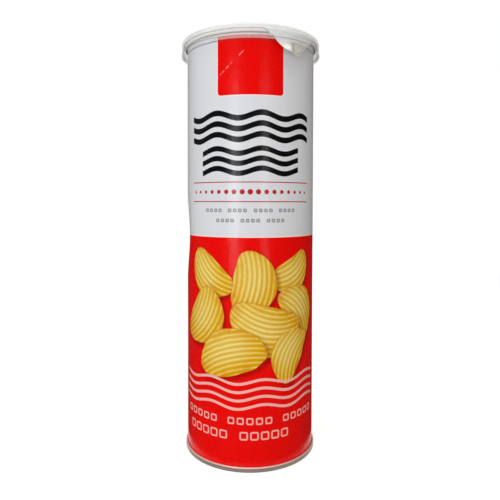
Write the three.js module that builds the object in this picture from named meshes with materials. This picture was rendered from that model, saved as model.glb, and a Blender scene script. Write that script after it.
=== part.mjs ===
// A tall round canister of stacked potato crisps, sealed as it is sold, in millimetres with +Z up.
// A wound card tube is curled over at its mouth and double-seamed to a pressed steel end at its foot. A foil
// seal with a pull tab is heat-sealed over the curl, and a moulded overcap snaps over both. The sealed can
// is full, so the tube and what it holds are one solid. The origin is the middle of the foot, and the front
// faces -Y. An angle round the can is in degrees, counted from the front towards +X.
import * as THREE from "three";

const { degToRad, radToDeg, clamp, smoothstep, mapLinear } = THREE.MathUtils;

// Driving dimensions
const roundSegments = 60;
const fitGap = 0.1; // between pieces that seat on each other

const bodyDiameter = 75;
const tubeWall = 1;
const canHeight = 237.4; // foot of the seam to the top of the curl

const curlRadius = 1.5; // of the rolled edge's round section
const curlOverhang = 1.8; // how far the curl stands out past the tube
const curlSteps = 12;

const steelThickness = 0.3;
const seamHeight = 2.8;
const seamStandOut = 1; // how far the seam stands out past the tube
const seamCorner = 0.35;
const footWidth = 1.2; // of the flat ring that the can stands on
const tubeFootLift = 0.5; // foot up to the floor of the channel that holds the tube
const panelDepth = 3.6; // foot up to the underside of the end panel
const beadRadius = 28.5; // middle of the end panel's stiffening bead
const beadWidth = 4;
const beadRise = 0.5;

const foilThickness = 0.25;
const foilEdgeAngle = 20; // where the foil's edge lies on the curl's shoulder, above level
const foilBendSteps = 7;
const dishDepth = 2; // the foil panel lies this far below the top of the curl
const edgeAllowance = 0.3; // of foil past the shoulder, where there is no tab
const tabOutline = [ // angle round the can, and length of foil past the shoulder
  [10, 0],
  [19, 4.2],
  [29, 11.3],
  [32, 12.3],
  [40, 12.9],
  [43, 11.2],
  [47, 7.4],
  [56, 4],
  [64, 0],
];
const tabSegments = 27;
const tabBendRows = 2; // round the curl
const tabFreeRows = 5; // below it
const tabFlare = 1.3; // how far the tab's free end springs out
const tabCrumple = 0.35;

const capWall = 0.9;
const capHeight = 8.1;
const capClearance = 0.4; // between the foil over the curl and the inside of the skirt
const capCorner = 1.4;
const capRecess = 1; // the cap's panel lies this far below its rim
const capRimWidth = 4.9; // outside of the skirt to the top of the slope down to the panel
const capSlopeWidth = 0.9;
const snapBeadRise = 2.6; // foot of the skirt up to the middle of the bead inside it
const snapBeadHeight = 1.4;
const snapBeadDepth = 0.2;
const capLipHeight = 1.4;
const capLipStep = 0.3; // the lip along the skirt's foot stands out this far

const dentAngle = -84; // a shallow knock in the left side of the tube
const dentHeight = 126;
const dentHalfHeight = 27;
const dentHalfWidth = 24; // degrees
const dentDepth = 1.3;
const dentRows = 9;

// Sizes that follow from them
const bodyRadius = bodyDiameter / 2;
const tubeInside = bodyRadius - tubeWall;
const curlCentreRadius = bodyRadius + curlOverhang - curlRadius;
const curlCentreHeight = canHeight - curlRadius;
const foilInner = curlRadius + fitGap; // radii round the middle of the curl's section
const foilOuter = foilInner + foilThickness;
const shoulderLength = degToRad(foilEdgeAngle) * foilInner; // of foil, shoulder to the curl's widest point
const foilUnderside = canHeight + fitGap - dishDepth;
const fillTop = foilUnderside - fitGap;
const panelTop = panelDepth + steelThickness;
const fillFoot = panelTop + beadRise + fitGap;
const seamInside = bodyRadius + fitGap;
const seamOutside = bodyRadius + seamStandOut;
const chuckOutside = tubeInside - fitGap;
const chuckInside = chuckOutside - steelThickness;
const capInside = curlCentreRadius + foilOuter + capClearance;
const capOutside = capInside + capWall;
const capUnderside = canHeight + 2 * fitGap + foilThickness;
const capTop = capUnderside + capWall;
const capFoot = capTop - capHeight;

const point = (radius, height) => new THREE.Vector2(radius, height);

// Points on an arc in the section plane. Angles are in degrees, from straight out, anticlockwise.
function arc(radius, height, size, from, to, steps) {
  return Array.from({ length: steps + 1 }, (_, i) => {
    const angle = degToRad(from + ((to - from) * i) / steps);
    return point(radius + size * Math.cos(angle), height + size * Math.sin(angle));
  });
}

// A section turned round +Z. It starts and ends on the axis, or closes on itself.
function turned(section, segments = roundSegments) {
  return new THREE.LatheGeometry(section, segments).rotateX(Math.PI / 2);
}

// Puts every point of a turned section at its angle round the can, in degrees, its radius and its height
function reshaped(geometry, pointsPerSection, place) {
  const position = geometry.getAttribute("position");
  for (let i = 0; i < position.count; i++) {
    const at = place(Math.floor(i / pointsPerSection), i % pointsPerSection);
    const angle = degToRad(at.angle);
    position.setXYZ(i, at.radius * Math.sin(angle), -at.radius * Math.cos(angle), at.height);
  }
  geometry.computeVertexNormals();
  return geometry;
}

// 1 in the middle, falling smoothly to 0 at the edge and beyond
const hump = (offset, half) => Math.cos((Math.PI / 2) * clamp(Math.abs(offset) / half, 0, 1)) ** 2;

// Where the inner side of an arc round the curl's section meets a level floor, from straight out
function innerEnd(size, floor) {
  return 180 - radToDeg(Math.asin(clamp((floor - curlCentreHeight) / size, 0, 1)));
}

function piece(name, geometry, color, roughness, metalness, extra = {}) {
  const material = new THREE.MeshStandardMaterial({ color, roughness, metalness, ...extra });
  const mesh = new THREE.Mesh(geometry, material);
  mesh.name = name;
  return mesh;
}

// The tube, its curl and what the sealed can holds. Rows of points cross the dent.
function canBody() {
  const curlReach = bodyRadius - curlCentreRadius; // the tube's outside, seen from the curl's middle
  const underCurl = -90 - radToDeg(Math.asin(-curlReach / curlRadius));
  const dentPoints = Array.from({ length: dentRows }, (_, i) =>
    point(bodyRadius, dentHeight + dentHalfHeight * ((2 * i) / (dentRows - 1) - 1)),
  );
  const fillEnd = innerEnd(curlRadius, fillTop);
  const curl = arc(curlCentreRadius, curlCentreHeight, curlRadius, underCurl, fillEnd, curlSteps);
  const section = [
    point(0, fillFoot),
    point(tubeInside, fillFoot),
    point(tubeInside, tubeFootLift + fitGap),
    point(bodyRadius, tubeFootLift + fitGap),
    ...dentPoints,
    ...curl,
    point(curl.at(-1).x, fillTop),
    point(0, fillTop),
  ];
  return reshaped(turned(section), section.length, (turn, row) => {
    const angle = mapLinear(turn, 0, roundSegments, -180, 180);
    const { x: radius, y: height } = section[row];
    const inDent = hump(angle - dentAngle, dentHalfWidth) * hump(height - dentHeight, dentHalfHeight);
    return { angle, radius: radius - dentDepth * inDent, height };
  });
}

// The steel end: a pressed seam round the tube's foot, and a panel set up inside it with one bead
function bottomEnd() {
  const footStart = (chuckInside + seamOutside - footWidth) / 2;
  const bead = (height) => [
    point(beadRadius - beadWidth / 2, height),
    point(beadRadius - beadWidth / 4, height + beadRise),
    point(beadRadius + beadWidth / 4, height + beadRise),
    point(beadRadius + beadWidth / 2, height),
  ];
  const section = [
    point(0, panelDepth),
    ...bead(panelDepth),
    point(chuckInside, panelDepth),
    point(chuckInside, seamCorner),
    point(footStart, 0),
    point(footStart + footWidth, 0),
    ...arc(seamOutside - seamCorner, seamCorner, seamCorner, -45, 0, 1),
    ...arc(seamOutside - seamCorner, seamHeight - seamCorner, seamCorner, 0, 90, 3),
    point(seamInside, seamHeight),
    point(seamInside, tubeFootLift),
    point(chuckOutside, tubeFootLift),
    point(chuckOutside, panelTop),
    ...bead(panelTop).reverse(),
    point(0, panelTop),
  ];
  return turned(section);
}

// The length of foil past the curl's shoulder, at an angle round the can
function tabLength(angle) {
  const next = tabOutline.findIndex(([at]) => at > angle);
  if (next < 1) return 0;
  const [fromAngle, fromLength] = tabOutline[next - 1];
  const [toAngle, toLength] = tabOutline[next];
  return mapLinear(angle, fromAngle, toAngle, fromLength, toLength);
}

// A point of the foil this far past the shoulder: round the curl to its widest point, then hanging down.
// Below the cap's skirt it is free, so it springs out and is crumpled.
function hanging(size, angle, down) {
  const lean = degToRad(foilEdgeAngle) * Math.max(0, 1 - down / shoulderLength);
  const drop = Math.max(0, down - shoulderLength);
  const freeFrom = curlCentreHeight - capFoot;
  const freeTo = Math.max(...tabOutline.map(([, length]) => length));
  const folds = tabCrumple * Math.sin(0.55 * angle + 1.1 * drop);
  const out = smoothstep(drop, freeFrom, freeTo) * (tabFlare + folds);
  return point(
    curlCentreRadius + size * Math.cos(lean) + out,
    curlCentreHeight + size * Math.sin(lean) - drop,
  );
}

// The foil: one sheet, dished over the fill and bent over the curl, whose edge runs down into the pull tab
function foilSeal() {
  const [[tabFrom], [tabTo]] = [tabOutline[0], tabOutline.at(-1)];
  const round = Array.from({ length: roundSegments }, (_, i) => (i * 360) / roundSegments);
  const fine = Array.from({ length: tabSegments + 1 }, (_, i) => mapLinear(i, 0, tabSegments, tabFrom, tabTo));
  const angles = [...round.filter((angle) => angle < tabFrom || angle > tabTo), ...fine].sort((a, b) => a - b);

  const bent = (size, floor) => {
    const end = innerEnd(size, floor);
    const overCurl = arc(curlCentreRadius, curlCentreHeight, size, end, foilEdgeAngle, foilBendSteps);
    return [point(0, floor), point(overCurl[0].x, floor), ...overCurl];
  };
  const under = bent(foilInner, foilUnderside);
  const over = bent(foilOuter, foilUnderside + foilThickness).reverse();
  const sections = angles.map((angle) => {
    const length = edgeAllowance + tabLength(angle);
    const bendLength = Math.min(shoulderLength, length / 2);
    const downs = [
      ...Array.from({ length: tabBendRows }, (_, i) => (bendLength * (i + 1)) / tabBendRows),
      ...Array.from({ length: tabFreeRows }, (_, i) => mapLinear(i + 1, 0, tabFreeRows, bendLength, length)),
    ];
    return [
      ...under,
      ...downs.map((down) => hanging(foilInner, angle, down)),
      ...downs.map((down) => hanging(foilOuter, angle, down)).reverse(),
      ...over,
    ];
  });
  return reshaped(turned(sections[0], angles.length), sections[0].length, (turn, row) => {
    const { x: radius, y: height } = sections[turn % angles.length][row];
    return { angle: angles[turn % angles.length], radius, height };
  });
}

// The overcap: a soft moulding with a rounded rim, a sunk panel, and a skirt with a bead inside and a lip
function overcap() {
  const innerCorner = Math.max(capCorner - capWall, 0.2);
  const slopeShift = capWall * Math.tan(Math.atan2(capRecess, capSlopeWidth) / 2);
  const slopeTop = capOutside - capRimWidth;
  const slopeFoot = slopeTop - capSlopeWidth;
  const skirtOutside = capOutside - capLipStep;
  const section = [
    point(0, capUnderside - capRecess),
    point(slopeFoot + slopeShift, capUnderside - capRecess),
    point(slopeTop + slopeShift, capUnderside),
    ...arc(capInside - innerCorner, capUnderside - innerCorner, innerCorner, 90, 0, 2),
    point(capInside, capFoot + snapBeadRise + snapBeadHeight / 2),
    point(capInside - snapBeadDepth, capFoot + snapBeadRise + snapBeadHeight / 6),
    point(capInside - snapBeadDepth, capFoot + snapBeadRise - snapBeadHeight / 6),
    point(capInside, capFoot + snapBeadRise - snapBeadHeight / 2),
    point(capInside, capFoot),
    point(capOutside, capFoot),
    point(capOutside, capFoot + capLipHeight - capLipStep),
    point(skirtOutside, capFoot + capLipHeight),
    ...arc(skirtOutside - capCorner, capTop - capCorner, capCorner, 0, 90, 5),
    point(slopeTop, capTop),
    point(slopeFoot, capTop - capRecess),
    point(0, capTop - capRecess),
  ];
  return turned(section);
}

const canister = new THREE.Group();
canister.add(
  piece("can_body", canBody(), 0xd9120f, 0.3, 0),
  piece("bottom_end", bottomEnd(), 0xa9a7a2, 0.35, 1),
  piece("foil_seal", foilSeal(), 0xd8d7d2, 0.35, 0.6),
  piece("overcap", overcap(), 0xe9eef0, 0.3, 0, { transparent: true, opacity: 0.45 }),
);
export default canister;
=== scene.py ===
import math

import bpy
from mathutils import Matrix, Vector, noise


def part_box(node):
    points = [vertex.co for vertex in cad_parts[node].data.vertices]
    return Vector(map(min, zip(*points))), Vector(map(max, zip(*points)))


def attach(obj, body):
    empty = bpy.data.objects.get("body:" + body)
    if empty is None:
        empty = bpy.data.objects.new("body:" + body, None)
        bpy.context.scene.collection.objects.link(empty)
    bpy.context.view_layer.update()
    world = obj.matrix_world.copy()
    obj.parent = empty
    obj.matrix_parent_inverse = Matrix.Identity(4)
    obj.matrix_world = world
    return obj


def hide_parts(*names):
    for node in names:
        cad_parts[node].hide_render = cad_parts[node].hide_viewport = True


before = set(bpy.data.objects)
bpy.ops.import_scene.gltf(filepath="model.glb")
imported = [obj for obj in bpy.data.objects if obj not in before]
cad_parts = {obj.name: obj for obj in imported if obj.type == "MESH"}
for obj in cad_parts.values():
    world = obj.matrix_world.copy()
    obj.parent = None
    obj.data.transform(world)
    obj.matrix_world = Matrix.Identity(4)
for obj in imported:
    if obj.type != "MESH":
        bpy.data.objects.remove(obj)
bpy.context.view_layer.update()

mm = 0.001

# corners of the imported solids, in metres
canLow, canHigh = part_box("can_body")
_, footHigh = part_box("bottom_end")
capLow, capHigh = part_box("overcap")

noEdge = 9  # millimetres, for any place well away from a cut edge

# the tube; sizes of the pieces are in millimetres and degrees

can = {
    "radius": 37.5,
    "wall": 1.0,
    "gap": 0.1,  # between pieces that seat on each other
    "foot": canLow.z / mm,
    "top": canHigh.z / mm,
    "curl": 1.5,  # radius of the rolled edge's section
    "curlReach": canHigh.x / mm,  # outside of the curl
    "curlSteps": 20,
    "fillTop": 235.4,
    "dent": {"angle": -84, "height": 126, "halfHeight": 27, "halfAngle": 24, "depth": 1.3},
    "turns": 288,
    "rowStep": 1.5,
    "sharp": 50,
}
can["curlRadius"] = can["curlReach"] - can["curl"]
can["curlHeight"] = can["top"] - can["curl"]


def ink(red, green, blue):  # a printed colour as the eye reads it, 0 to 255, turned into light
    shares = [part / 255 for part in (red, green, blue)]
    return tuple(s / 12.92 if s < 0.0405 else ((s + 0.055) / 1.055) ** 2.4 for s in shares) + (1,)


class Wire:  # a shader socket that can be used in sums
    def __init__(self, paint, socket):
        self.paint, self.socket = paint, socket

    def maths(self, operation, *values, clamp=False):
        settings = {"operation": operation, "use_clamp": clamp}
        return self.paint.node("ShaderNodeMath", settings, dict(enumerate(values)))

    def __add__(self, other):
        return self.maths("ADD", self, other)

    def __radd__(self, other):
        return self.maths("ADD", other, self)

    def __sub__(self, other):
        return self.maths("SUBTRACT", self, other)

    def __rsub__(self, other):
        return self.maths("SUBTRACT", other, self)

    def __mul__(self, other):
        return self.maths("MULTIPLY", self, other)

    def __rmul__(self, other):
        return self.maths("MULTIPLY", other, self)

    def __truediv__(self, other):
        return self.maths("DIVIDE", self, other)

    def __rtruediv__(self, other):
        return self.maths("DIVIDE", other, self)

    def __pow__(self, other):
        return self.maths("POWER", self, other)

    def __mod__(self, other):
        return self.maths("FLOORED_MODULO", self, other)

    def __neg__(self):
        return self.maths("MULTIPLY", self, -1)

    def __abs__(self):
        return self.maths("ABSOLUTE", self)

    def __or__(self, other):  # the larger of two
        return self.maths("MAXIMUM", self, other)

    def __and__(self, other):  # the smaller of two
        return self.maths("MINIMUM", self, other)

    def sine(self):
        return self.maths("SINE", self)

    def clamped(self):
        return self.maths("ADD", self, 0, clamp=True)

    def ramp(self, start, end):  # 0 at start to 1 at end, smoothly
        values = {"Value": self, "From Min": start, "From Max": end}
        return self.paint.node("ShaderNodeMapRange", {"interpolation_type": "SMOOTHSTEP"}, values)


class Paint:  # one material and its nodes
    def __init__(self, name):
        self.material = bpy.data.materials.new(name)
        self.material.use_nodes = True
        self.tree = self.material.node_tree
        self.tree.nodes.clear()
        self.shader = self.tree.nodes.new("ShaderNodeBsdfPrincipled")
        self.surface = self.tree.nodes.new("ShaderNodeOutputMaterial").inputs["Surface"]
        self.tree.links.new(self.shader.outputs["BSDF"], self.surface)

    def plug(self, socket, value):
        if isinstance(value, Wire):
            self.tree.links.new(value.socket, socket)
        else:
            socket.default_value = value

    def node(self, kind, settings=None, values=None, out=0):
        made = self.tree.nodes.new(kind)
        for key, value in (settings or {}).items():
            setattr(made, key, value)
        for key, value in (values or {}).items():
            self.plug(made.inputs[key], value)
        return Wire(self, made.outputs[out])

    def mix(self, share, below, above):  # colours
        sockets = {0: share, 6: below, 7: above}
        return self.node("ShaderNodeMix", {"data_type": "RGBA"}, sockets, out=2)

    def places(self):  # metres in the frame's axes, on the piece itself
        spot = self.node("ShaderNodeTexCoord", out=3)
        return spot, [self.node("ShaderNodeSeparateXYZ", values={0: spot}, out=i) for i in range(3)]

    def unrolled(self):  # millimetres round the can from its front, and millimetres up
        spot, (x, y, z) = self.places()
        return spot, x.maths("ARCTAN2", x, -y) * can["radius"], z / mm

    def stretched(self, spot, x, y, z):
        return self.node("ShaderNodeVectorMath", {"operation": "MULTIPLY"}, {0: spot, 1: (x, y, z)})

    def noise(self, spot, size, detail, rough):  # about 0 to 1, its lumps this many millimetres
        values = {"Vector": spot, "Scale": 1 / (size * mm), "Detail": detail, "Roughness": rough}
        return self.node("ShaderNodeTexNoise", {}, values)

    def bump(self, height, distance, strength=1.0):
        values = {"Height": height, "Distance": distance * mm, "Strength": strength}
        return self.node("ShaderNodeBump", {}, values)

    def finish(self, sockets):
        for key, value in sockets.items():
            self.plug(self.shader.inputs[key], value)
        return self.material


# flat shapes on the unrolled label: how far a place lies outside the shape, in millimetres


def barAt(u, v, middle, height, halfWidth, halfHeight, corner):
    across = (abs(u - middle) - (halfWidth - corner)) | 0
    up = (abs(v - height) - (halfHeight - corner)) | 0
    return (across * across + up * up) ** 0.5 - corner


def inked(distance, blur=0.16):  # 1 inside a shape, 0 outside, with a soft printed edge
    return (0.5 - distance / blur).clamped()


def evenAngles(count, start=0):
    return [start + i * 360 / count for i in range(count)]


def ringMesh(name, angles, sectionAt, body, stands, paint, sharp, edgeAt=None):
    # a closed shape from sections that start and end on the axis, at angles round the can in degrees
    sections = [sectionAt(angle) for angle in angles]
    count = len(sections[0])
    points = [(0, 0, sections[0][0][1] * mm), (0, 0, sections[0][-1][1] * mm)]
    for angle, section in zip(angles, sections):
        turn = math.radians(angle)
        for radius, height in section[1:-1]:
            points.append((radius * mm * math.sin(turn), -radius * mm * math.cos(turn), height * mm))
    span = count - 2

    def at(i, j):
        return 2 + (i % len(angles)) * span + j

    faces = []
    for i in range(len(angles)):
        faces.append((0, at(i + 1, 0), at(i, 0)))
        faces += [(at(i, j), at(i + 1, j), at(i + 1, j + 1), at(i, j + 1)) for j in range(span - 1)]
        faces.append((1, at(i, span - 1), at(i + 1, span - 1)))
    mesh = bpy.data.meshes.new(name)
    mesh.from_pydata(points, [], faces)
    mesh.validate()
    mesh.shade_smooth()
    mesh.set_sharp_from_angle(angle=math.radians(sharp))
    mesh.materials.append(paint)
    if edgeAt:  # millimetres of sheet between each point and the cut edge
        values = [noEdge, noEdge] + [edge for angle in angles for edge in edgeAt(angle)[1:-1]]
        mesh.attributes.new("edge", "FLOAT", "POINT").data.foreach_set("value", values)
    piece = bpy.data.objects.new(name, mesh)
    bpy.context.scene.collection.objects.link(piece)
    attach(piece, body)
    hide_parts(stands)
    return piece


def roundedLine(corners, steps=5):
    # corners are (radius, height, rounding); each rounding becomes an arc
    line = []
    for i, (r, z, rounding) in enumerate(corners):
        here = Vector((r, z))
        if not rounding or i in (0, len(corners) - 1):
            line.append((r, z))
            continue
        back = Vector(corners[i - 1][:2]) - here
        on = Vector(corners[i + 1][:2]) - here
        half = back.angle(on) / 2
        reach = min(rounding / math.tan(half), back.length * 0.49, on.length * 0.49)
        size = reach * math.tan(half)
        middle = here + (back.normalized() + on.normalized()).normalized() * (size / math.sin(half))
        start = here + back.normalized() * reach - middle
        end = here + on.normalized() * reach - middle
        turn = start.angle_signed(end)
        for k in range(steps + 1):
            spoke = start.copy()
            spoke.rotate(Matrix.Rotation(-turn * k / steps, 2))
            line.append(tuple(middle + spoke))
    return line


def arcLine(radius, height, size, start, end, steps):
    turns = [math.radians(start + (end - start) * i / steps) for i in range(steps + 1)]
    return [(radius + size * math.cos(t), height + size * math.sin(t)) for t in turns]


def hump(offset, half):
    return math.cos(math.pi / 2 * min(abs(offset) / half, 1)) ** 2


def smooth(value, start, end):
    t = min(max((value - start) / (end - start), 0), 1)
    return t * t * (3 - 2 * t)


# the printed label

label = {
    "white": ink(229, 232, 240),
    "red": ink(246, 5, 3),
    "black": ink(15, 18, 18),
    "rule": ink(190, 38, 48),
    "grey": ink(128, 129, 133),
    "pink": ink(252, 190, 182),
    "liner": ink(248, 248, 246),
    # bare paper above the print
    "bareTop": {"height": 233.2, "blur": 0.1, "share": 0.85, "ink": ink(238, 226, 224)},
    "linerFade": (0.1, 0.3),  # over the neck, where the curl starts
    "neckShade": {"below": 0.45, "over": (0.15, 0.5), "share": 0.8, "ink": ink(70, 68, 68)},
    "lipShadow": {"height": 231.2, "half": 0.55, "share": 0.55},  # painted shadow on the tube just under the lid's lip
    "keyline": 0.55,  # pale edge printed round the red fields
    "keyInk": ink(250, 240, 240),
    "fieldTop": 126.3,  # the red field reaches this high at the front
    "sideTop": 138,  # and this high round the back
    "sideStart": -46,  # millimetres round the can where it steps up, left and right
    "sideEnd": 66,
    "sideStep": 6,
    "panel": {"halfWidth": 18.3, "foot": 202, "corner": 1.8},
    "waves": [
        {"height": 185.6, "lines": 3, "pitch": 5.7, "line": 3.1, "swing": 1.5, "length": 25.3, "half": 38},
        {"height": 167.2, "lines": 3, "pitch": 5.3, "line": 2.9, "swing": 1.4, "length": 25.3, "half": 29},
    ],
    "lowWaves": {"height": 42, "lines": 4, "pitch": 4.5, "line": 1.5, "swing": 1.3, "length": 30, "half": 46},
    "rules": (155.9, 145.5),
    "ruleHalf": (38, 0.28),
    "ruleCorner": 0.1,
    "dots": {"height": 150.7, "step": 4.4, "size": 1.5, "taper": 0.022, "half": 37},
    # rows of small open squares: height, start and end round the can, pitch, half size, line, group
    "greyRows": ((140.8, -26.6, 26.6, 2.8, 0.95, 0.42, 4), (135.4, -19.6, 19.6, 2.8, 0.95, 0.42, 4)),
    "pinkRows": ((27.6, -44.2, 44.2, 5.2, 1.9, 0.75, 5), (19.6, -41, 22.8, 5.8, 2.3, 0.8, 5)),
    "squareCorner": 0.45,  # as a share of a square's half size
    "scuff": {"from": (-18.4, 211.4), "to": (-3.2, 225.5), "half": 0.32, "blur": 0.3, "share": 0.6},
    "scuffInk": ink(250, 170, 165),
    "lap": {"half": 4, "edge": 0.5},  # where the label's ends overlap, at the back
    # noises: size in millimetres, detail, roughness
    "peel": (0.9, 2, 0.6),
    "film": (2.6, 2, 0.5),
    "filmStretch": 0.14,
    "slack": (17, 2, 0.5),
    "grain": (0.55, 2, 0.7),
    "flakes": (2.2, 2, 0.5),
    "relief": {"peel": 0.06, "film": 0.09, "slack": 0.3, "lap": 0.12},
    "roughness": {"smooth": 0.13, "grain": 0.2, "worn": 0.3, "liner": 0.15},
    "reflection": 0.17,
}

crisps = {
    # place round the can and height, half length, half width, tilt, bend
    "places": (
        (25, 107, 15, 9.5, 30, 0.5),
        (-24, 106, 16.5, 10.5, 140, -0.45),
        (1, 101, 18.5, 12.5, 82, 0.35),
        (30, 86, 16.5, 11.5, -50, -0.4),
        (-29, 82, 18, 12.5, 55, 0.4),
        (9, 78, 21.5, 14, -14, 0.45),
        (-11, 63, 20.5, 13, 16, -0.35),
        (24, 62, 16, 10.5, 60, -0.5),
    ),
    "pale": ink(248, 224, 120),
    "gold": ink(236, 188, 20),
    "amber": ink(218, 132, 8),
    "furrow": ink(220, 156, 10),
    "crest": ink(252, 238, 156),
    "edge": ink(214, 120, 20),
    "ridge": 2.7,  # from one ridge to the next
    "shadow": ink(120, 6, 0),
    "fall": (1.1, -1.5),  # of the shadow
    "shadowGrowth": 1.03,
    "shadowFade": (0.86, 1.14),
    "drift": 0.06,  # of the ridges, with the blotches
    "light": {"up": 0.8, "left": 0.6, "blotch": 0.9},
    "toastFade": (0.62, 1),
    # noises: size in millimetres, detail, roughness
    "edgeNoise": (9, 1, 0.5),
    "blotch": (6, 3, 0.6),
    "speckle": (0.9, 3, 0.7),
    "shares": {"shadow": 0.6, "furrow": 0.62, "crest": 0.5, "toasted": 0.75, "speckled": 0.4, "edge": 0.75},
    "blur": 0.3,
    "wobble": 0.13,
}


def waveAt(u, v, wave):
    off = v - wave["height"] - (u * (2 * math.pi / wave["length"])).sine() * wave["swing"]
    reach = wave["lines"] * wave["pitch"] / 2
    line = abs((off + reach) % wave["pitch"] - wave["pitch"] / 2) - wave["line"] / 2
    return line | (abs(off) - reach) | (abs(u) - wave["half"])


def squareRows(u, v, rows):
    nearest = None
    for height, first, last, pitch, half, line, group in rows:
        cell = (u - first) % pitch - pitch / 2
        outline = barAt(cell, v, 0, height, half, half, half * label["squareCorner"])
        square = abs(outline + line / 2) - line / 2
        spaced = (u - first) % (pitch * (group + 1)) - pitch * group
        row = square | spaced | (abs(u - (first + last) / 2) - (last - first) / 2)
        nearest = row if nearest is None else nearest & row
    return nearest


def crispOn(paint, below, u, v, place, wobble, blotch, speckle):  # one crisp over what is printed below it
    shares, light = crisps["shares"], crisps["light"]
    middle, height, halfLength, halfWidth, tilt, bend = place
    c, s = math.cos(math.radians(tilt)), math.sin(math.radians(tilt))

    def spread(du, dv, grow):
        p = ((u - middle - du) * c + (v - height - dv) * s) / (halfLength * grow)
        q = ((v - height - dv) * c - (u - middle - du) * s) / (halfWidth * grow)
        q = q - p * p * bend + bend * 0.4
        return p, q, (p * p + q * q) ** 0.5

    fallU, fallV = crisps["fall"]
    _, _, far = spread(fallU, fallV, crisps["shadowGrowth"])
    below = paint.mix((1 - far.ramp(*crisps["shadowFade"])) * shares["shadow"], below, crisps["shadow"])
    p, q, out = spread(0, 0, 1)
    out = out + wobble
    ridge = ((q + blotch * crisps["drift"]) * (2 * math.pi * halfWidth / crisps["ridge"])).sine() * 0.5 + 0.5
    lit = ((v - height) * light["up"] - (u - middle) * light["left"]) / halfLength + blotch * light["blotch"]
    middling = 1 - (out + blotch * 0.8 - lit * 0.35).ramp(0.15, 0.95)
    colour = paint.mix(middling, crisps["gold"], crisps["pale"])
    furrow = ridge.ramp(0.75, 0.05) * (shares["furrow"] - lit * 0.25).clamped()
    colour = paint.mix(furrow, colour, crisps["furrow"])
    colour = paint.mix(ridge.ramp(0.7, 1) * shares["crest"], colour, crisps["crest"])
    toasted = out.ramp(*crisps["toastFade"]) * (blotch + 0.5).ramp(0.4, 0.75)
    colour = paint.mix(toasted * shares["toasted"], colour, crisps["amber"])
    colour = paint.mix(speckle.ramp(0.56, 0.74) * shares["speckled"], colour, crisps["amber"])
    colour = paint.mix(out.ramp(0.95, 0.99) * shares["edge"], colour, crisps["edge"])
    return paint.mix(((1 - out) * (halfWidth / crisps["blur"])).clamped(), below, colour)


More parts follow.
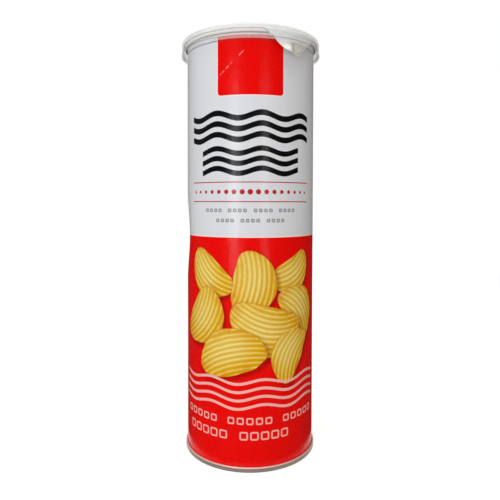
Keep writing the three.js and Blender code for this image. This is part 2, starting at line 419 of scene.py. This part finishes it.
def labelPaint():
    paint = Paint("printed_label")
    spot, u, v = paint.unrolled()
    wobble = (paint.noise(spot, *crisps["edgeNoise"]) - 0.5) * crisps["wobble"]
    blotch = paint.noise(spot, *crisps["blotch"]) - 0.5
    speckle = paint.noise(spot, *crisps["speckle"])

    left = 1 - u.ramp(label["sideStart"] - label["sideStep"], label["sideStart"])
    right = u.ramp(label["sideEnd"], label["sideEnd"] + label["sideStep"])
    field = v - label["fieldTop"] - (left | right) * (label["sideTop"] - label["fieldTop"])
    colour = paint.mix(inked(field - label["keyline"]), label["white"], label["keyInk"])
    colour = paint.mix(inked(field), colour, label["red"])

    panel = label["panel"]
    tall = (can["top"] + panel["corner"] - panel["foot"]) / 2
    upper = barAt(u, v, 0, panel["foot"] + tall, panel["halfWidth"], tall, panel["corner"])
    colour = paint.mix(inked(upper - label["keyline"]), colour, label["keyInk"])
    colour = paint.mix(inked(upper), colour, label["red"])

    for place in crisps["places"]:
        colour = crispOn(paint, colour, u, v, place, wobble, blotch, speckle)

    for wave in label["waves"]:
        colour = paint.mix(inked(waveAt(u, v, wave)), colour, label["black"])
    colour = paint.mix(inked(waveAt(u, v, label["lowWaves"])), colour, label["pink"])

    halfLong, halfThick = label["ruleHalf"]
    for height in label["rules"]:
        rule = barAt(u, v, 0, height, halfLong, halfThick, label["ruleCorner"])
        colour = paint.mix(inked(rule), colour, label["rule"])
    dots = label["dots"]
    across = (u + dots["step"] / 2) % dots["step"] - dots["step"] / 2
    up = v - dots["height"]
    dot = (across * across + up * up) ** 0.5 - dots["size"] + abs(u) * dots["taper"]
    colour = paint.mix(inked(dot | (abs(u) - dots["half"])), colour, label["rule"])

    colour = paint.mix(inked(squareRows(u, v, label["greyRows"])), colour, label["grey"])
    colour = paint.mix(inked(squareRows(u, v, label["pinkRows"])), colour, label["pink"])

    scuff = label["scuff"]
    (u0, v0), (u1, v1) = scuff["from"], scuff["to"]
    long = math.hypot(u1 - u0, v1 - v0)
    c, s = (u1 - u0) / long, (v1 - v0) / long
    alongScuff = (u - (u0 + u1) / 2) * c + (v - (v0 + v1) / 2) * s
    acrossScuff = (v - (v0 + v1) / 2) * c - (u - (u0 + u1) / 2) * s
    scratch = abs(acrossScuff) - scuff["half"] | (abs(alongScuff) - long / 2)
    worn = inked(scratch, scuff["blur"]) * paint.noise(spot, *label["flakes"]).ramp(0.44, 0.6)
    colour = paint.mix(worn * scuff["share"], colour, label["scuffInk"])

    # the rolled edge shows the liner, not the print, and painted shade darkens the corner under it
    neck = can["curlHeight"] - can["curl"]
    bare, dark = label["bareTop"], label["neckShade"]
    above = v.ramp(bare["height"] - bare["blur"], bare["height"] + bare["blur"])
    colour = paint.mix(above * bare["share"], colour, bare["ink"])
    shadeFrom, shadeTo = dark["over"]
    shade = v.ramp(neck - dark["below"], neck) * (1 - v.ramp(neck + shadeFrom, neck + shadeTo))
    linerFrom, linerTo = label["linerFade"]
    liner = v.ramp(neck + linerFrom, neck + linerTo)
    colour = paint.mix(liner, colour, label["liner"])
    # painted shadow under the lid's lip, in the same dark ink as the painted shade under the curl
    lipShadow = label["lipShadow"]
    lipShadowMask = 1 - abs(v - lipShadow["height"]).ramp(lipShadow["half"] / 3, lipShadow["half"])
    colour = paint.mix(shade * dark["share"] | lipShadowMask * lipShadow["share"], colour, dark["ink"])

    peel = paint.noise(spot, *label["peel"])
    film = paint.noise(paint.stretched(spot, 1, 1, label["filmStretch"]), *label["film"])
    slack = paint.noise(spot, *label["slack"])
    lap = (abs(u) - (math.pi * can["radius"] - label["lap"]["half"])).ramp(0, label["lap"]["edge"])
    relief, rough = label["relief"], label["roughness"]
    height = peel * relief["peel"] + film * relief["film"] + slack * relief["slack"] + lap * relief["lap"]
    grain = paint.noise(spot, *label["grain"]).ramp(0.35, 0.7)
    return paint.finish({
        "Base Color": colour,
        "Roughness": rough["smooth"] + grain * rough["grain"] + worn * rough["worn"] + liner * rough["liner"],
        "Specular IOR Level": label["reflection"],
        "Normal": paint.bump(height, 1.0),
    })


def canSection(angle):
    dent = can["dent"]
    reach = can["curlRadius"] - can["radius"]
    under = -90 - math.degrees(math.asin(reach / can["curl"]))
    neck = can["curlHeight"] + can["curl"] * math.sin(math.radians(under))
    rows = int((neck - can["foot"]) / can["rowStep"])
    wall = []
    for i in range(rows):
        height = can["foot"] + (neck - can["foot"]) * i / rows
        around = hump(angle - dent["angle"], dent["halfAngle"])
        knock = around * hump(height - dent["height"], dent["halfHeight"])
        wall.append((can["radius"] - knock * dent["depth"], height))
    curl = arcLine(can["curlRadius"], can["curlHeight"], can["curl"], under, 180, can["curlSteps"])
    inside, fillFoot = can["radius"] - can["wall"], footHigh.z / mm + can["gap"]
    start = [(0, fillFoot), (inside, fillFoot), (inside, can["foot"])]
    return start + wall + curl + [(curl[-1][0], can["fillTop"]), (0, can["fillTop"])]


canAngles = evenAngles(can["turns"], -180)
body = ringMesh("printed_tube", canAngles, canSection, "can", "can_body", labelPaint(), can["sharp"])
print("tube and label made")

# the steel end

foot = {
    "steel": 0.3,  # thickness of the sheet
    "seamHeight": 2.8,
    "corner": 0.4,
    "panel": 3.6,  # height of the recessed panel
    "bead": 28.5,  # radius of the ring pressed into the panel
    "beadWidth": 4,
    "beadRise": 0.5,
    "beadRounds": (1.2, 1),  # at its foot and at its crown
    "channel": 0.5,  # floor of the channel that holds the tube's foot
    "ring": 1.2,  # width of the flat ring that the can stands on
    "ringRound": 0.3,
    "seamRound": 0.35,
    "turns": 240,
    "sharp": 40,
    "inks": (ink(118, 110, 102), ink(138, 130, 121)),
    # noises: size in millimetres, detail, roughness
    "drawn": (3, 3, 0.6),
    "drawnStretch": 14,
    "cloud": (12, 2, 0.5),
    "seamHighlight": {"from": 0.6, "to": 0.3, "ink": ink(232, 212, 206), "metal": 0.3},  # painted highlight, just under the seam's top
}


def steelPaint():
    paint = Paint("tinned_steel")
    spot, _, v = paint.unrolled()
    seamHighlight = foot["seamHighlight"]
    drawn = paint.noise(paint.stretched(spot, 1, 1, foot["drawnStretch"]), *foot["drawn"])
    cloud = paint.noise(spot, *foot["cloud"])
    # painted highlight along the seam's rounded top edge
    paintedHighlight = v.ramp(foot["seamHeight"] - seamHighlight["from"], foot["seamHeight"] - seamHighlight["to"])
    return paint.finish({
        "Base Color": paint.mix(paintedHighlight, paint.mix(cloud, *foot["inks"]), seamHighlight["ink"]),
        "Metallic": 1 - paintedHighlight * (1 - seamHighlight["metal"]),
        "Roughness": 0.26 + drawn * 0.16,
        "Normal": paint.bump(drawn, 0.02, 0.6),
    })


def footSection(angle):
    outside, inside = footHigh.x / mm, can["radius"] - can["wall"] - can["gap"]
    chuck = inside - foot["steel"]
    ringStart = (chuck + outside - foot["ring"]) / 2

    def bead(height):
        half, raised = foot["beadWidth"] / 2, height + foot["beadRise"]
        outer, crown = foot["beadRounds"]
        inner = [(foot["bead"] - half, height, outer), (foot["bead"] - half / 2, raised, crown)]
        return inner + [(foot["bead"] + half / 2, raised, crown), (foot["bead"] + half, height, outer)]

    top = foot["panel"] + foot["steel"]
    return roundedLine([
        (0, foot["panel"], 0),
        *bead(foot["panel"]),
        (chuck, foot["panel"], 0.5),
        (chuck, foot["corner"], foot["ringRound"]),
        (ringStart, 0, foot["ringRound"]),
        (ringStart + foot["ring"], 0, foot["ringRound"]),
        (outside, foot["seamRound"], foot["seamRound"]),
        (outside, foot["seamHeight"], foot["corner"]),
        (can["radius"] + can["gap"], foot["seamHeight"], 0.2),
        (can["radius"] + can["gap"], foot["channel"], 0),
        (inside, foot["channel"], 0),
        (inside, top, 0.4),
        *reversed(bead(top)),
        (0, top, 0),
    ])


footAngles = evenAngles(foot["turns"])
end = ringMesh("steel_foot", footAngles, footSection, "can", "bottom_end", steelPaint(), foot["sharp"])
print("steel end made")

# the foil seal and its pull tab

foil = {
    "thickness": 0.25,
    "edgeAngle": 20,  # on the curl's section, where the foil leaves it
    "dish": 2,
    "allowance": 0.3,
    # the tab's cut edge: angle round the can and length of foil
    "outline": (
        (10, 0), (18, 4.2), (28, 11), (31, 11.8), (39.5, 12.3), (42.5, 10.9), (47, 7.4), (56, 4), (64, 0)),
    "flare": 0.7,
    "peak": {"angle": 30.5, "left": 11, "right": 6, "height": 2.4},  # the tab's ridge
    "opens": 6.5,  # below the lid, the length of foil over which the ridge reaches its height
    "rim": 0.7,  # width of the rolled cut edge
    "crumple": {"size": 0.16, "around": 0.55, "down": 1.1},
    "lumps": {"size": 0.9, "around": 0.16, "down": 0.42, "seed": 3.7, "scale": 1.7},
    "creases": (  # angle, drop, half angle, half drop, slant in degrees per millimetre, depth
        (36.6, 6.9, 1.6, 1.5, 0.3, 0.7),
        (30.5, 9.8, 1.2, 2.4, 1.1, 0.2),
        (26, 7.8, 1.3, 1.6, -0.9, 0.15),
    ),
    "bendSteps": 14,
    "bendRows": 6,
    "freeRows": 34,
    "fineStep": 0.5,
    "wideStep": 1.5,
    "sharp": 60,
    "cell": 2.6,  # size of the fine creases
    "fine": (1.1, 3, 0.6),  # noise: size in millimetres, detail, roughness
    "relief": {"crease": 0.12, "fine": 0.1, "rim": 0.34},
    "freeFade": 0.6,  # over the lid's foot
    "inks": (ink(224, 225, 225), ink(238, 239, 238)),
    "freeInk": ink(246, 246, 244),
    "shadedSide": {"start": 20.2, "width": 1.6, "share": 0.85, "ink": ink(204, 203, 198)},  # painted shade on the tab, right of the ridge
    # painted highlight along the tab's cut edge below the lid
    "edgeHighlightInk": ink(255, 254, 250),
    # painted shadow along the foil's cut edge under the lid
    "edgeShadowInk": ink(112, 114, 118),
}
foil["inner"] = can["curl"] + can["gap"]
foil["outer"] = foil["inner"] + foil["thickness"]
foil["shoulder"] = math.radians(foil["edgeAngle"]) * foil["inner"]
foil["floor"] = can["top"] + can["gap"] - foil["dish"]


def tabLength(angle):
    for (a0, l0), (a1, l1) in zip(foil["outline"], foil["outline"][1:]):
        if a0 <= angle <= a1:
            return l0 + (l1 - l0) * (angle - a0) / (a1 - a0)
    return 0


def hangingFoil(size, angle, down):  # radius and height, this far down the foil
    lean = math.radians(foil["edgeAngle"]) * max(0, 1 - down / foil["shoulder"])
    drop = max(0, down - foil["shoulder"])
    freeFrom = can["curlHeight"] - capLow.z / mm
    free = smooth(drop, freeFrom, freeFrom + foil["opens"])
    peak, crumple, lumps = foil["peak"], foil["crumple"], foil["lumps"]
    spot = Vector((angle * lumps["around"], drop * lumps["down"], lumps["seed"]))
    waves = math.sin(crumple["around"] * angle + crumple["down"] * drop)
    folds = crumple["size"] * (waves + lumps["size"] * noise.noise(spot * lumps["scale"]))
    reach = peak["left"] if angle < peak["angle"] else peak["right"]
    folds += peak["height"] * hump(angle - peak["angle"], reach)
    out = free * (foil["flare"] + folds)
    creased = smooth(drop, freeFrom - 1, freeFrom + 0.5)
    for middle, low, halfAngle, halfDrop, slant, depth in foil["creases"]:
        aside = angle - middle - slant * (drop - low)
        out -= creased * depth * hump(aside, halfAngle) * hump(drop - low, halfDrop)
    return can["curlRadius"] + size * math.cos(lean) + out, can["curlHeight"] + size * math.sin(lean) - drop


def foilDowns(angle):  # lengths of foil past the shoulder, down to the cut edge
    length = foil["allowance"] + tabLength(angle)
    bend = min(foil["shoulder"], length / 2)
    downs = [bend * (i + 1) / foil["bendRows"] for i in range(foil["bendRows"])]
    return downs + [bend + (length - bend) * (i + 1) / foil["freeRows"] for i in range(foil["freeRows"])]


def foilEdges(angle):  # millimetres of foil between each point of foilSection and the cut edge
    downs = foilDowns(angle)
    steps = foil["bendSteps"]
    bend = foil["outer"] * math.radians(180 - foil["edgeAngle"])
    over = [downs[-1] + bend * (1 - i / steps) for i in range(steps + 1)]
    hanging = [downs[-1] - down for down in downs]
    if foil["outline"][0][0] < angle < foil["outline"][-1][0]:
        hanging = [min(below, slopeSide(angle, down)) for below, down in zip(hanging, downs)]
    half = [noEdge, noEdge, *over, *hanging]
    return half + half[::-1]


def slopeSide(angle, down):  # sideways distance to the tab's outline, at this length of foil
    reach = noEdge
    for (a0, l0), (a1, l1) in zip(foil["outline"], foil["outline"][1:]):
        if min(l0, l1) <= down <= max(l0, l1) and l0 != l1:
            at = a0 + (a1 - a0) * (down - l0) / (l1 - l0)
            reach = min(reach, math.radians(abs(angle - at)) * can["curlReach"])
    return reach


def foilSection(angle):
    def face(size, floor):  # one face of the sheet, from the middle of the dish to the cut edge
        bend = arcLine(can["curlRadius"], can["curlHeight"], size, 180, foil["edgeAngle"], foil["bendSteps"])
        hanging = [hangingFoil(size, angle, down) for down in foilDowns(angle)]
        return [(0, floor), (bend[0][0], floor), *bend, *hanging]

    upper = face(foil["outer"], foil["floor"] + foil["thickness"])
    return face(foil["inner"], foil["floor"]) + upper[::-1]


def foilPaint():
    paint = Paint("lacquered_foil")
    spot, u, v = paint.unrolled()
    cells = {"Vector": spot, "Scale": 1 / (foil["cell"] * mm)}
    crease = paint.node("ShaderNodeTexVoronoi", {"feature": "DISTANCE_TO_EDGE"}, cells)
    fine = paint.noise(spot, *foil["fine"])
    edge = paint.node("ShaderNodeAttribute", {"attribute_name": "edge"}, out=2)
    free = v.ramp(capLow.z / mm + foil["freeFade"], capLow.z / mm)  # 1 below the lid
    colour = paint.mix(fine, *foil["inks"])
    colour = paint.mix(free * 0.6, colour, foil["freeInk"])
    # painted shade on the tab's side right of its ridge
    shadedSide = foil["shadedSide"]
    paintedShade = u.ramp(shadedSide["start"], shadedSide["start"] + shadedSide["width"])
    colour = paint.mix(paintedShade * free * shadedSide["share"], colour, shadedSide["ink"])
    # painted highlight along the cut edge below the lid
    colour = paint.mix((1 - edge.ramp(0.1, foil["rim"])) * free, colour, foil["edgeHighlightInk"])
    # painted shadow along the cut edge where the foil lies on the curl under the lid
    colour = paint.mix((1 - edge.ramp(0.25, foil["rim"])) * (1 - free) * 0.6, colour, foil["edgeShadowInk"])
    relief = foil["relief"]
    height = crease.ramp(0, 0.3) * relief["crease"] + fine * relief["fine"]
    height = height + edge.ramp(0, foil["rim"]) * free * relief["rim"]
    return paint.finish({
        "Base Color": colour,
        "Metallic": 0.1,
        "Roughness": 0.6 + fine * 0.14,
        "Specular IOR Level": 0.3,
        "Normal": paint.bump(height, 1.0, 0.8),
    })


tabFrom, tabTo = foil["outline"][0][0], foil["outline"][-1][0]
fineAngles = [tabFrom + i * foil["fineStep"] for i in range(int((tabTo - tabFrom) / foil["fineStep"]) + 1)]
wideCount = int((360 - (tabTo - tabFrom)) / foil["wideStep"])
wideStep = (360 - (tabTo - tabFrom)) / wideCount
foilAngles = fineAngles + [tabTo + i * wideStep for i in range(1, wideCount)]
seal = ringMesh(
    "foil_sheet", foilAngles, foilSection, "can", "foil_seal", foilPaint(), foil["sharp"], foilEdges)
print("foil seal made")

# the overcap

cap = {
    "wall": 0.9,
    "corner": 1.5,
    "recess": 1,  # of the top's middle
    "rimWidth": 4.9,
    "slopeWidth": 0.9,
    "beadRise": 2.6,  # the snap bead inside, over the skirt's foot
    "beadHeight": 1.4,
    "beadDepth": 0.2,
    "lipHeight": 1.4,
    "lipStep": 0.3,
    "turns": 288,
    "sharp": 50,
    "inks": (ink(234, 236, 238), ink(243, 245, 246)),
    # noises: size in millimetres, detail, roughness
    "haze": (6, 2, 0.5),
    "fine": (0.8, 2, 0.5),
    "rimFade": (3.2, 0.4),  # under the top
    "shadeFade": (2.6, 0.8),
    "sideFade": (3, 12),  # round the can from its left and right
    "shade": {"share": 0.5, "ink": ink(214, 216, 217)},
    # painted shade in the groove over the lip's step
    "grooveShade": {"share": 0.85, "ink": ink(120, 118, 118)},
    "alpha": {"clear": 0.15, "haze": 0.08, "bead": 0.14, "rim": 0.3, "grooveShade": 0.24, "side": 0.3},
}


def capPaint():
    paint = Paint("translucent_cap")
    spot, u, v = paint.unrolled()
    haze = paint.noise(spot, *cap["haze"])
    fine = paint.noise(spot, *cap["fine"])
    low, top = capLow.z / mm, capHigh.z / mm
    # painted shade in the groove over the lip, darker and less clear
    grooveShade = 1 - abs(v - low - cap["lipHeight"] - 0.1).ramp(0.05, 0.5)
    bead = 1 - abs(v - low - cap["beadRise"] + 0.2).ramp(0.1, cap["beadHeight"] / 2)
    rim, shade = [v.ramp(top - start, top - end) for start, end in (cap["rimFade"], cap["shadeFade"])]
    side = (1 - abs(abs(u) - can["radius"] * math.pi / 2).ramp(*cap["sideFade"])) * (1 - rim)
    clear = paint.mix(shade * cap["shade"]["share"], paint.mix(haze, *cap["inks"]), cap["shade"]["ink"])
    alpha = cap["alpha"]
    opaque = alpha["clear"] + haze * alpha["haze"] + bead * alpha["bead"] + rim * alpha["rim"]
    return paint.finish({
        "Base Color": paint.mix(grooveShade * cap["grooveShade"]["share"], clear, cap["grooveShade"]["ink"]),
        "Roughness": 0.26 + fine * 0.1,
        "Alpha": opaque + grooveShade * alpha["grooveShade"] + side * alpha["side"],
        "Coat Weight": 0.2,
        "Coat Roughness": 0.2,
        "Normal": paint.bump(fine, 0.015, 0.5),
    })


def capSection(angle):
    outside, top, low = capHigh.x / mm, capHigh.z / mm, capLow.z / mm
    inside, under = outside - cap["wall"], top - cap["wall"]
    shift = cap["wall"] * math.tan(math.atan2(cap["recess"], cap["slopeWidth"]) / 2)
    slopeTop = outside - cap["rimWidth"]
    slopeFoot = slopeTop - cap["slopeWidth"]
    skirt = outside - cap["lipStep"]
    bead, half = low + cap["beadRise"], cap["beadHeight"] / 2
    return roundedLine([
        (0, under - cap["recess"], 0),
        (slopeFoot + shift, under - cap["recess"], 0.4),
        (slopeTop + shift, under, 0.4),
        (inside, under, 0.7),
        (inside, bead + half, 0.3),
        (inside - cap["beadDepth"], bead + half / 3, 0.3),
        (inside - cap["beadDepth"], bead - half / 3, 0.3),
        (inside, bead - half, 0.3),
        (inside, low, 0.25),
        (outside, low, 0.3),
        (outside, low + cap["lipHeight"] - cap["lipStep"], 0.2),
        (skirt, low + cap["lipHeight"], 0.15),
        (skirt, top, cap["corner"]),
        (slopeTop, top, 0.5),
        (slopeFoot, top - cap["recess"], 0.5),
        (0, top - cap["recess"], 0),
    ])


capAngles = evenAngles(cap["turns"])
lid = ringMesh("clear_overcap", capAngles, capSection, "lid", "overcap", capPaint(), cap["sharp"])
lid.visible_shadow = False  # the clear plastic passes the light on
print("overcap made")

# floor, lights and camera, in metres

studio = {
    "floorSize": 6,
    "floorTone": (0.62, 0.62, 0.62, 1),
    "floorGlow": 0.66,
    "floorFade": (0.25, 0.9),  # from here to here round the can the floor turns into the background
    "background": 1.0,
    "ambient": 0.33,
    "ambientColour": (1.0, 0.91, 0.76, 1),
    "white": (1, 1, 1, 1),
}


def floorPaint():
    paint = Paint("pale_floor")
    paint.tree.nodes.remove(paint.shader)
    byCamera, byGloss, through = [paint.node("ShaderNodeLightPath", out=i) for i in (0, 3, 6)]
    matt = paint.node("ShaderNodeBsdfDiffuse", values={"Color": studio["floorTone"]})

    def glow(strength):
        return paint.node("ShaderNodeEmission", values={"Color": studio["white"], "Strength": strength})

    lit = paint.node("ShaderNodeAddShader", values={0: matt, 1: glow(studio["floorGlow"])})
    _, (x, y, _) = paint.places()
    far = ((x * x + y * y) ** 0.5).ramp(*studio["floorFade"])
    shown = paint.node("ShaderNodeMixShader", values={0: far, 1: lit, 2: glow(studio["background"])})
    both = paint.node("ShaderNodeMixShader", values={0: byCamera | byGloss | through, 1: matt, 2: shown})
    paint.tree.links.new(both.socket, paint.surface)
    return paint.material


def addFloor():
    half = studio["floorSize"] / 2
    corners = [(-half, -half, 0), (half, -half, 0), (half, half, 0), (-half, half, 0)]
    mesh = bpy.data.meshes.new("floor")
    mesh.from_pydata(corners, [], [(0, 1, 2, 3)])
    mesh.materials.append(floorPaint())
    floor = bpy.data.objects.new("floor", mesh)
    bpy.context.scene.collection.objects.link(floor)


def addWorld():
    world = bpy.data.worlds.new("studio")
    bpy.context.scene.world = world
    world.use_nodes = True
    tree = world.node_tree
    tree.nodes.clear()
    path = tree.nodes.new("ShaderNodeLightPath")
    room = tree.nodes.new("ShaderNodeBackground")
    room.inputs["Color"].default_value = studio["ambientColour"]
    room.inputs["Strength"].default_value = studio["ambient"]
    white = tree.nodes.new("ShaderNodeBackground")
    white.inputs["Color"].default_value = studio["white"]
    white.inputs["Strength"].default_value = studio["background"]
    mix = tree.nodes.new("ShaderNodeMixShader")
    output = tree.nodes.new("ShaderNodeOutputWorld")
    direct = path.outputs["Is Camera Ray"]
    for kind in ("Is Glossy Ray", "Is Transmission Ray"):
        either = tree.nodes.new("ShaderNodeMath")
        either.operation = "MAXIMUM"
        tree.links.new(direct, either.inputs[0])
        tree.links.new(path.outputs[kind], either.inputs[1])
        direct = either.outputs[0]
    tree.links.new(direct, mix.inputs[0])
    tree.links.new(room.outputs[0], mix.inputs[1])
    tree.links.new(white.outputs[0], mix.inputs[2])
    tree.links.new(mix.outputs[0], output.inputs["Surface"])


lamps = {
    # azimuth from the front towards +X, distance, height, width, tall, watts, colour
    "left_softbox": (-27, 1.2, 0.21, 0.3, 0.39, 3.85, (0.93, 0.965, 1.0)),
    "right_softbox": (25, 1.4, 0.24, 0.16, 0.5, 1.9, (1.0, 0.97, 0.92)),
    "side_softbox": (-95, 1.2, 0.4, 0.8, 0.9, 0.4, (1.0, 0.99, 0.97)),
    "top_softbox": (-20, 0.25, 1.0, 0.7, 0.7, 5.2, (1.0, 1.0, 1.0)),
    "back_softbox": (180, 1.3, 0.5, 1.0, 0.8, 6, (1.0, 0.99, 0.97)),
}
lampAim = Vector((0, 0, 0.12))


def addLamps():
    for name, (azimuth, distance, height, wide, tall, watts, colour) in lamps.items():
        data = bpy.data.lights.new(name, "AREA")
        data.shape = "RECTANGLE"
        data.size, data.size_y = wide, tall
        data.energy, data.color = watts, colour
        lamp = bpy.data.objects.new(name, data)
        turn = math.radians(azimuth)
        lamp.location = (distance * math.sin(turn), -distance * math.cos(turn), height)
        lamp.rotation_mode = "QUATERNION"
        lamp.rotation_quaternion = (lampAim - lamp.location).to_track_quat("-Z", "Y")
        lamp.visible_glossy = name != "back_softbox"
        bpy.context.scene.collection.objects.link(lamp)


surround = {  # a dark screen that only the gloss sees, so that the print keeps its depth of colour
    "near": 0.044,
    "far": 1.9,
    "lift": 0.001,  # over the floor
    "tall": 2.4,
    "sides": 48,
    "tone": (0.03, 0.03, 0.03, 1),
    "roughness": 0.9,
}


def addSurround():
    near, far, lift, tall, sides = (surround[key] for key in ("near", "far", "lift", "tall", "sides"))
    points = []
    for radius, height in ((near, lift), (far, lift), (far, tall)):
        for i in range(sides):
            turn = 2 * math.pi * i / sides
            points.append((radius * math.cos(turn), radius * math.sin(turn), height))
    faces = []
    for row in (0, sides):
        for i in range(sides):
            on = (i + 1) % sides
            faces.append((row + i, row + on, row + sides + on, row + sides + i))
    mesh = bpy.data.meshes.new("dark_screen")
    mesh.from_pydata(points, [], faces)
    tone = {"Base Color": surround["tone"], "Roughness": surround["roughness"]}
    mesh.materials.append(Paint("dark_screen").finish(tone))
    screen = bpy.data.objects.new("dark_screen", mesh)
    for ray in ("camera", "diffuse", "transmission", "shadow", "volume_scatter"):
        setattr(screen, "visible_" + ray, False)
    bpy.context.scene.collection.objects.link(screen)


camera = {
    "distance": 0.3018,
    "height": 0.1448,
    "aside": -0.00016,
    "pitch": 1.5,  # degrees
    "roll": 0.116,  # degrees
    "focalPixels": 498.6,
    "imagePixels": 500,
    "sensor": 36,  # millimetres
    "shift": -0.068,
}


def addCamera():
    data = bpy.data.cameras.new("camera")
    data.sensor_width = camera["sensor"]
    data.lens = camera["sensor"] * camera["focalPixels"] / camera["imagePixels"]
    data.shift_y = camera["shift"]
    eye = bpy.data.objects.new("camera", data)
    eye.location = (camera["aside"], -camera["distance"], camera["height"])
    eye.rotation_euler = (math.radians(90 - camera["pitch"]), -math.radians(camera["roll"]), 0)
    bpy.context.scene.collection.objects.link(eye)
    bpy.context.scene.camera = eye


addFloor()
addWorld()
addLamps()
addSurround()
addCamera()
bpy.context.scene.view_settings.view_transform = "Standard"
print("studio made")
